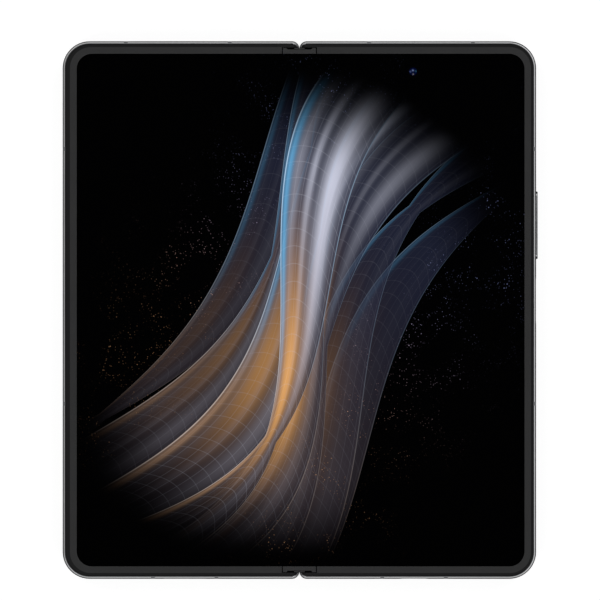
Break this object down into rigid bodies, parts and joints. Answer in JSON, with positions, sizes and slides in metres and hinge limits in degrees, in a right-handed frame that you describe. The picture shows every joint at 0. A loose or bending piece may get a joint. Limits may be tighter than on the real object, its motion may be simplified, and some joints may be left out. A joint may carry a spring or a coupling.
{
  "type": "foldable smartphone",
  "caption": "Book-style folding phone lying open: two thin halves on a geared hinge, one flexible inner screen with a raised bezel, side keys, cover screen and cameras on the back.",
  "frame": {"origin": "under the middle of the fold, level with the lowest face of the camera rings", "axes": "+X across the fold to the right of the inner screen, +Y up the phone, +Z out of the inner screen"},
  "size_m": [0.1408, 0.1594, 0.0087],
  "materials": {
    "frame_metal": "anodised, fine satin",
    "band_plastic": "moulded",
    "bezel_plastic": "moulded, soft touch",
    "screen_film": "glossy",
    "plate_steel": "rolled",
    "back_glass": "satin glass",
    "cover_glass": "polished",
    "island_metal": "anodised",
    "ring_metal": "turned",
    "lens_glass": "coated",
    "black_plastic": "moulded",
    "flash_plastic": "clear",
    "board": "solder mask",
    "can_steel": "tinned",
    "battery_wrap": "foil wrap",
    "contact_gold": "gold flash",
    "magnet_nickel": "plated",
    "screw_steel": "plated",
    "hinge_steel": "sintered",
    "gear_metal": "machined",
    "spine_metal": "anodised",
    "flex_film": "polyimide",
    "key_metal": "anodised",
    "sensor_glass": "polished"
  },
  "bodies": {
    "right_half": {"right_frame": "frame_metal", "right_antenna_bands": "band_plastic", "right_bezel": "bezel_plastic", "display_right": "screen_film", "display_backplate_right": "plate_steel", "rear_cover": "back_glass", "camera_island": "island_metal", "camera_rings": "ring_metal", "camera_lenses": "lens_glass", "camera_modules": "black_plastic", "flash_window": "flash_plastic", "main_board": "board", "shield_cans": "can_steel", "battery_right": "battery_wrap", "usb_shell": "can_steel", "usb_tongue": "black_plastic", "speaker_bottom": "black_plastic", "vibration_motor": "can_steel", "inner_camera": "black_plastic", "inner_camera_window": "lens_glass", "key_switches": "contact_gold", "magnets_right": "magnet_nickel", "board_screws": "screw_steel", "right_hinge_arms": "hinge_steel", "right_arm_screws": "screw_steel"},
    "spine": {"hinge_spine": "spine_metal", "hinge_brackets": "hinge_steel", "hinge_shafts": "screw_steel", "idler_axles": "screw_steel", "torque_cams": "hinge_steel", "torque_springs": "screw_steel", "display_bend": "screen_film", "trim_cap_top": "bezel_plastic", "trim_cap_bottom": "bezel_plastic", "hinge_flex_cables": "flex_film"},
    "left_half": {"left_frame": "frame_metal", "left_antenna_bands": "band_plastic", "left_bezel": "bezel_plastic", "display_left": "screen_film", "display_backplate_left": "plate_steel", "cover_glass": "cover_glass", "cover_display": "screen_film", "cover_camera": "black_plastic", "battery_left": "battery_wrap", "sub_board": "board", "earpiece": "black_plastic", "sim_reader": "can_steel", "magnets_left": "magnet_nickel", "sub_board_screws": "screw_steel", "left_hinge_arms": "hinge_steel", "left_arm_screws": "screw_steel"},
    "centre_support": {"centre_support": "plate_steel"},
    "idlers_right": {"idler_gears_right": "gear_metal"},
    "idlers_left": {"idler_gears_left": "gear_metal"},
    "wing_right": {"wing_plate_right": "plate_steel"},
    "wing_left": {"wing_plate_left": "plate_steel"},
    "volume_rocker": {"volume_rocker": "key_metal"},
    "power_key": {"power_key": "key_metal", "fingerprint_sensor": "sensor_glass"},
    "sim_tray": {"sim_tray": "key_metal"}
  },
  "joints": [
    {"name": "fold", "type": "hinge", "parent": "right_half", "child": "spine", "pos_m": [0.0038, 0, 0.00515], "axis": [0, 1, 0], "range_deg": [0, 90], "deforming": ["display_bend", "trim_cap_top", "trim_cap_bottom", "hinge_flex_cables"]},
    {"name": "fold_left", "type": "hinge", "parent": "spine", "child": "left_half", "pos_m": [-0.0038, 0, 0.00515], "axis": [0, 1, 0], "range_deg": [0, 90]},
    {"name": "idler_right_turn", "type": "hinge", "parent": "spine", "child": "idlers_right", "pos_m": [0.00127, 0, 0.00515], "axis": [0, 1, 0], "range_deg": [0, 90]},
    {"name": "idler_left_turn", "type": "hinge", "parent": "spine", "child": "idlers_left", "pos_m": [-0.00127, 0, 0.00515], "axis": [0, 1, 0], "range_deg": [-90, 0]},
    {"name": "centre_lift", "type": "slide", "parent": "spine", "child": "centre_support", "axis": [0, 0, 1], "range_m": [-0.00035, 0]},
    {"name": "wing_right_tilt", "type": "hinge", "parent": "right_half", "child": "wing_right", "pos_m": [0.0134, 0, 0.00705], "axis": [0, 1, 0], "range_deg": [-10, 0]},
    {"name": "wing_left_tilt", "type": "hinge", "parent": "left_half", "child": "wing_left", "pos_m": [-0.0134, 0, 0.00705], "axis": [0, 1, 0], "range_deg": [0, 10]},
    {"name": "volume_press", "type": "slide", "parent": "right_half", "child": "volume_rocker", "axis": [-1, 0, 0], "range_m": [0, 0.00025], "stiffness_N_per_m": 4000},
    {"name": "power_press", "type": "slide", "parent": "right_half", "child": "power_key", "axis": [-1, 0, 0], "range_m": [0, 0.00025], "stiffness_N_per_m": 4000},
    {"name": "sim_eject", "type": "slide", "parent": "left_half", "child": "sim_tray", "axis": [0, -1, 0], "range_m": [0, 0.015]}
  ],
  "couplings": [
    {"joint": "fold_left", "follows": "fold", "ratio": 1},
    {"joint": "idler_right_turn", "follows": "fold", "ratio": 1},
    {"joint": "idler_left_turn", "follows": "fold", "ratio": -1},
    {"joint": "centre_lift", "follows": "fold", "m_per_rad": -0.00022281},
    {"joint": "wing_right_tilt", "follows": "fold", "ratio": -0.11111},
    {"joint": "wing_left_tilt", "follows": "fold", "ratio": 0.11111}
  ]
}
